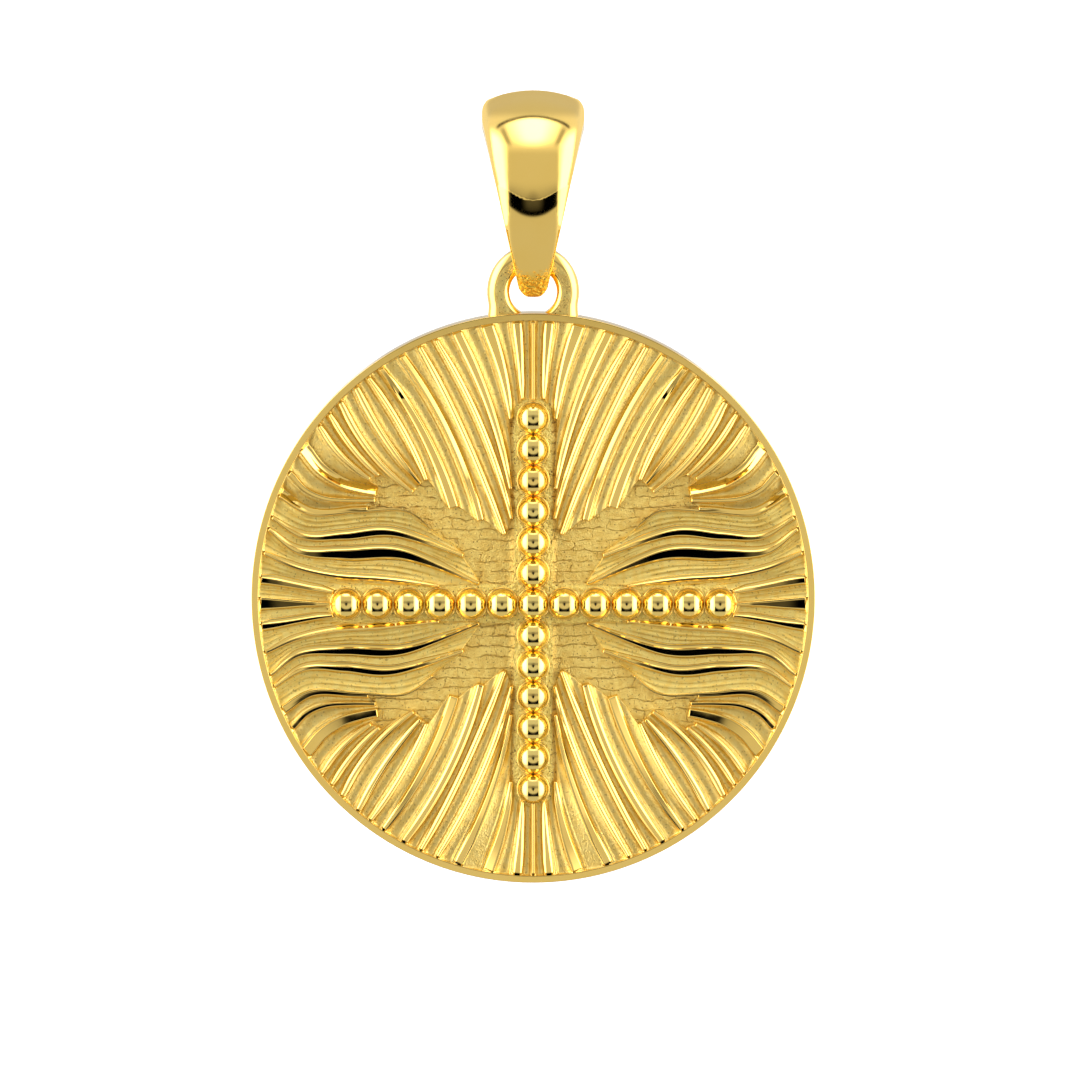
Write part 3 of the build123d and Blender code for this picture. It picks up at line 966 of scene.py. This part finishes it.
def side_loop(top_inset, leg_inset, foot_inset):
    """Side view (y, z) of the teardrop loop, moved in from its outside: down the back, up the front."""
    top, foot = BAIL_TOP_Z - top_inset, BAIL_FOOT_Z + foot_inset
    step = 0.05 * MM
    places = []
    for row in BAIL_SIDE:
        inset = lerp(top_inset, leg_inset, row.drop)
        lean = radians(row.lean)
        depth = row.reach * BAIL_HALF_DEPTH - inset * cos(lean)
        height = BAIL_TOP_Z - row.drop * BAIL_HEIGHT - inset * sin(lean)
        if depth > step and foot + step < height < top:
            places.append((depth, height))
    mirrored = [(-depth, height) for depth, height in reversed(places)]
    return [(0.0, top)] + places + [(0.0, foot)] + mirrored


def smooth_loop(points, stations):
    """Places and normals along a closed cubic spline, evenly spaced down to the foot and up again."""
    points = np.array(points)
    ahead = np.roll(points, -1, axis=0) - points
    spans = np.linalg.norm(ahead, axis=1)
    before = np.roll(spans, 1)
    slopes = ahead / spans[:, None]
    matrix = np.diag(2 * (before + spans))
    matrix += np.roll(np.diag(spans), 1, axis=1) + np.roll(np.diag(before), -1, axis=1)
    bends = np.linalg.solve(matrix, 6 * (slopes - np.roll(slopes, 1, axis=0)))
    fine = []
    ends, end_bends = np.roll(points, -1, axis=0), np.roll(bends, -1, axis=0)
    for a, b, ka, kb, span in zip(points, ends, bends, end_bends, spans):
        for u in (part / SPLINE_PARTS for part in range(SPLINE_PARTS)):
            w = 1 - u
            fine.append(w * a + u * b + ((w ** 3 - w) * ka + (u ** 3 - u) * kb) * span * span / 6)
    fine = np.array(fine + [fine[0]])
    length = np.concatenate([[0], np.cumsum(np.linalg.norm(np.diff(fine, axis=0), axis=1))])
    foot = int(np.argmin(fine[:, 1]))
    half = stations // 2
    down = np.linspace(0, length[foot], half, endpoint=False)
    up = np.linspace(length[foot], length[-1], stations - half, endpoint=False)
    wanted = np.concatenate([down, up])
    places = np.stack([np.interp(wanted, length, fine[:, axis]) for axis in (0, 1)], axis=1)
    along = np.roll(places, -1, axis=0) - np.roll(places, 1, axis=0)
    along /= np.linalg.norm(along, axis=1)[:, None]
    return places, np.stack([-along[:, 1], along[:, 0]], axis=1)


def bail_half_width(z):
    """Half of the bail's width in the front view at a height."""
    straight_end = BAIL_FOOT_Z + BAIL_FOOT_HALF
    if z > 0:
        return BAIL_HALF_WIDTH - BAIL_CORNER_ROUND + sqrt(max(BAIL_CORNER_ROUND ** 2 - z * z, 0.0))
    if z > BAIL_CORNER_Z:
        return BAIL_HALF_WIDTH
    taper = (BAIL_HALF_WIDTH - BAIL_FOOT_HALF) / (BAIL_CORNER_Z - straight_end)
    width = BAIL_FOOT_HALF + max((z - straight_end) * taper, -0.02 * MM)
    low = BAIL_FOOT_Z + BAIL_TIP_ROUND - z
    if low > 0:
        width += sqrt(max(BAIL_TIP_ROUND ** 2 - low * low, 0.0)) - BAIL_TIP_ROUND
    return width


def view_drop(place):
    """How far a place lies under the bail's crown in the picture, as a share of the bail's height."""
    away = place - VIEW_CENTRE
    height = away.dot(VIEW_UP) * CAMERA_DISTANCE / (CAMERA_DISTANCE - away.dot(VIEW_BACK))
    return (BAIL_VIEW_TOP - height) / BAIL_HEIGHT


def front_normal(place, normal):
    """The shading normal with which the bail's front mirrors to the camera what BAIL_GLINTS says."""
    facing = normal.dot(VIEW_BACK)
    if place.y > 0.05 * MM or facing < GLINT_FACING:
        return normal
    weight = ease(min((facing - GLINT_FACING) / GLINT_BLEND, 1.0))
    drop = view_drop(place)
    drops, ups, cards, boxes, sags = zip(*BAIL_GLINTS)
    across = min(abs(place.x) / bail_half_width(place.z), 1.0)
    sag = float(np.interp(drop, drops, sags)) * (across / SAG_AT) ** 2
    up = float(np.interp(drop + sag, drops, ups))
    card, box = (float(np.interp(drop, drops, values)) for values in (cards, boxes))
    boxed = clamp((across - card) / 0.05) * clamp((BAIL_BOX_END + BAIL_BOX_FADE - drop) / BAIL_BOX_FADE)
    up = lerp(up, max(up, BOX_LOW_Z), boxed)
    box_x = sqrt(max(BOX_REACH ** 2 - (up - BOX_CENTRE_Z) ** 2, BOX_LEAST_X ** 2))
    mirrored = [0.0, HALF_CARD_X, CARD_X, box_x, EDGE_X]
    side = float(np.interp(across, [0.0, card * 0.5, card, box, 1.0], mirrored))
    size = hypot(side, up)
    if size > STEEPEST:
        side, up = side * STEEPEST / size, up * STEEPEST / size
    front = sqrt(1 - side * side - up * up)
    buffed = Vector((side if place.x > 0 else -side, 0.0, 0.0)) + VIEW_UP * up + VIEW_BACK * front
    return normal.lerp(buffed, weight).normalized()


def bail_piece():
    stations, across, corner = 300, 40, 6
    outside = smooth_loop(side_loop(0.0, 0.0, 0.0), stations)
    inside = smooth_loop(side_loop(BAIL_WALL, BAIL_LEG_WALL, BAIL_FOOT_WALL), stations)

    def place(wall, station, x):
        """The place (x, y, z) on a wall's crowned surface, at a distance from the middle plane."""
        y0, z0 = wall[0][station]
        ny, nz = wall[1][station]
        way = 1.0 if wall[1][0][1] > 0 else -1.0
        drop = (BAIL_TOP_Z - z0) / BAIL_HEIGHT
        share = clamp(drop / 0.25)
        crown = lerp(BAIL_TOP_CROWN, BAIL_SIDE_CROWN, share)
        edge = BAIL_EDGE_CROWN * max(share, 0.2)
        fall = (BAIL_INNER_CROWN * x * x if wall is inside else crown * x * x + edge * x ** 4) * way
        inward = ny * fall
        y = y0 - inward if abs(inward) < 0.55 * abs(y0) else 0.45 * y0
        return x, y, z0 - nz * fall

    def half_width(wall, station):
        """Half of the width at a station, kept out of the ring's way round the foot."""
        y, z = wall[0][station]
        width = BAIL_HALF_WIDTH
        for _ in range(12):
            width = (width + bail_half_width(place(outside, station, width)[2])) / 2
        width = min(width, float(np.interp(z - BAIL_FOOT_Z, *FOOT_OUTLINE)))
        radius = hypot(y, z - SWING_Z)
        if z < SWING_Z + 0.7 * MM and radius < RING_HOLE / 2:
            room = (RING_HOLE / 2 - SWING_GAP) ** 2 - (RING_HOLE / 2 + RING_BAND / 2 - radius) ** 2
            width = min(width, sqrt(max(room, (0.25 * MM) ** 2)))
        return width

    def edge_points(station, side, outer_half, inner_half):
        """Points round one edge, from the outside's flat part to the inside."""
        _, y0, z0 = place(outside, station, side * outer_half)
        _, y1, z1 = place(inside, station, side * inner_half)
        sink = min(BAIL_EDGE / hypot(y1 - y0, z1 - z0), 0.45)
        points = []
        for step in range(1, corner + 1):
            turn = pi / 2 * step / corner
            share = sink * (1 - cos(turn))
            x, y, z = place(outside, station, side * (outer_half - BAIL_EDGE + BAIL_EDGE * sin(turn)))
            points.append((x, lerp(y, y1, share), lerp(z, z1, share)))
        x = lerp(side * outer_half, side * inner_half, 0.9)
        return points + [(x, lerp(y0, y1, 0.93), lerp(z0, z1, 0.93))]

    places = []
    for station in range(stations):
        outer_half, inner_half = half_width(outside, station), half_width(inside, station)
        flat, inner_flat = outer_half - BAIL_EDGE, inner_half * 0.94
        row = [place(outside, station, lerp(1, -1, step / across) * flat) for step in range(across + 1)]
        row += edge_points(station, -1, outer_half, inner_half)
        row += [
            place(inside, station, lerp(-inner_flat, inner_flat, step / (across // 2)))
            for step in range(across // 2 + 1)
        ]
        row += reversed(edge_points(station, 1, outer_half, inner_half))
        places.extend(row)
    faces = grid_faces(stations, len(row), wrap_rows=True, wrap_columns=True, flip=True)
    piece = mesh_piece("bail_polished", "bail", places, faces, [bail_gold])
    normals = [
        front_normal(Vector(point), vertex.normal) for point, vertex in zip(places, piece.data.vertices)
    ]
    piece.data.normals_split_custom_set_from_vertices(normals)
    return piece


bail = bail_piece()
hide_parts("bail")


# Studio: pale floor, and a soft light tent around the pendant

FLOOR_HALF = 12.0  # metres
FLOOR_TONE = (0.92, 0.92, 0.92, 1)
TENT_TONE = (1.0, 0.985, 0.96, 1)
SEEN_LEVEL = 1.05  # what the camera itself sees round the pendant
TENT_FLOOR_Z = -1.2  # lower than any place in the tent
TENT_LEVEL = 1.02


def floor_piece():
    low, high = -FLOOR_HALF, FLOOR_HALF
    material = bpy.data.materials.new("pale_floor")
    nodes = Nodes(material)
    shader = nodes.add("ShaderNodeBsdfDiffuse", {"Color": FLOOR_TONE})
    nodes.add("ShaderNodeOutputMaterial", {"Surface": shader.outputs[0]})
    corners = [(low, low, FLOOR_Z), (high, low, FLOOR_Z), (high, high, FLOOR_Z), (low, high, FLOOR_Z)]
    floor = new_object("floor", corners, [(0, 1, 2, 3)], [material])
    floor.visible_glossy = False


def light_tent():
    """A tent of cards and soft boxes, laid out round the direction that faces the pendant.

    x and z are the sideways and upward parts of the surface normal that mirrors a place of the
    tent towards the photograph's viewpoint, so an area shows where the metal faces that way.
    """
    world = bpy.data.worlds.new("light_tent")
    bpy.context.scene.world = world
    nodes = Nodes(world)
    way = nodes.add("ShaderNodeTexCoord").outputs["Generated"]
    half = nodes.vector_math("NORMALIZE", nodes.vector_math("ADD", way, VIEW_BACK))
    x = nodes.math("ABSOLUTE", nodes.vector_math("DOT_PRODUCT", half, (1.0, 0.0, 0.0), output=1))
    z = nodes.vector_math("DOT_PRODUCT", half, VIEW_UP, output=1)

    def between(value, low, high, soft=0.02):
        rise = nodes.step(value, low - soft, low + soft)
        fall = nodes.step(value, high - soft, high + soft)
        return nodes.math("SUBTRACT", rise, fall)

    def within(reach, soft):
        """1 nearer to the middle line than reach."""
        return between(x, -1.0, reach, soft)

    def circle(centre_z, size, soft=0.02):
        """1 inside a circle round a place on the middle line."""
        away = nodes.length(x, nodes.math("SUBTRACT", z, centre_z))
        return nodes.outside(nodes.step(away, size - soft, size + soft))

    def rising(low, high):
        return nodes.step(z, low, high)

    both = nodes.product
    card = within(CARD_X, 0.02)
    side_box = both(
        nodes.math("SUBTRACT", nodes.step(x, 0.33, 0.50), nodes.step(x, 0.66, 0.74)),
        circle(0.1, 0.75, 0.04), between(z, -0.40, 0.66, 0.07),
        nodes.math("ADD", 0.75, nodes.product(rising(-0.40, 0.10), 0.25)),
    )
    seam = both(between(x, 0.30, 0.355, 0.02), circle(0.0, 0.76, 0.02), between(z, 0.54, 0.9, 0.03))
    top_box = both(circle(0.0, 0.775, 0.02), rising(0.50, 0.60), within(0.29, 0.035))
    ring = nodes.math("SUBTRACT", circle(0.0, 0.80, 0.006), circle(0.0, 0.78, 0.006))
    smile = both(between(z, -0.49, -0.12, 0.015), nodes.outside(circle(0.10, 0.43, 0.05)))
    lens = nodes.length(nodes.product(x, 1.4), z)

    # Each area, with its brightness, is laid over those before it
    areas = [
        (rising(0.0, -0.5), 1.08),
        (both(between(x, 0.82, 2.0, 0.06), rising(-0.15, 0.1)), 1.15),
        (side_box, 4.2),
        # The middle card, with its foot and a dusk band over the smile
        (both(card, between(z, TENT_FLOOR_Z, 0.50, 0.04)), 0.73),
        (both(card, rising(-0.30, -0.50)), 0.68),
        (both(card, rising(0.28, 0.14), rising(0.02, 0.08)), 0.40),
        (seam, 0.50),
        # The top box with its bright middle, the ceiling and the dark line between them
        (top_box, 1.6),
        (both(top_box, circle(0.68, 0.20, 0.12)), 4.2),
        (both(rising(0.76, 0.84), within(0.8, 0.1)), 0.68),
        (both(ring, rising(0.62, 0.68), within(0.38, 0.03)), 0.04),
        # The dark smile with its softer middle, and the lens in a dim circle
        (both(smile, within(0.355, 0.02)), 0.0),
        (both(smile, nodes.outside(nodes.step(x, 0.06, 0.20)), rising(-0.43, -0.38)), 0.10),
        (circle(0.08, 0.12, 0.05), 0.26),
        (nodes.outside(nodes.step(lens, 0.075, 0.12)), 0.0),
    ]
    level = TENT_LEVEL
    for amount, strength in areas:
        level = nodes.mix_value(amount, level, strength)

    seen = nodes.add("ShaderNodeLightPath").outputs["Is Camera Ray"]
    strength = nodes.mix_value(seen, level, SEEN_LEVEL)
    background = nodes.add("ShaderNodeBackground", {"Color": TENT_TONE, "Strength": strength})
    nodes.add("ShaderNodeOutputWorld", {"Surface": background.outputs[0]})


def camera_setup():
    data = bpy.data.cameras.new("camera")
    data.sensor_width = SENSOR_MM
    data.lens = SENSOR_MM * CAMERA_DISTANCE / VIEW_SPAN
    data.clip_start = 0.001
    data.clip_end = 100.0
    camera = bpy.data.objects.new("camera", data)
    bpy.context.scene.collection.objects.link(camera)
    camera.location = VIEW_CENTRE + VIEW_BACK * CAMERA_DISTANCE
    camera.rotation_euler = (pi / 2 - CAMERA_RISE, 0.0, 0.0)
    bpy.context.scene.camera = camera


floor_piece()
light_tent()
camera_setup()
bpy.context.scene.view_settings.view_transform = "Standard"
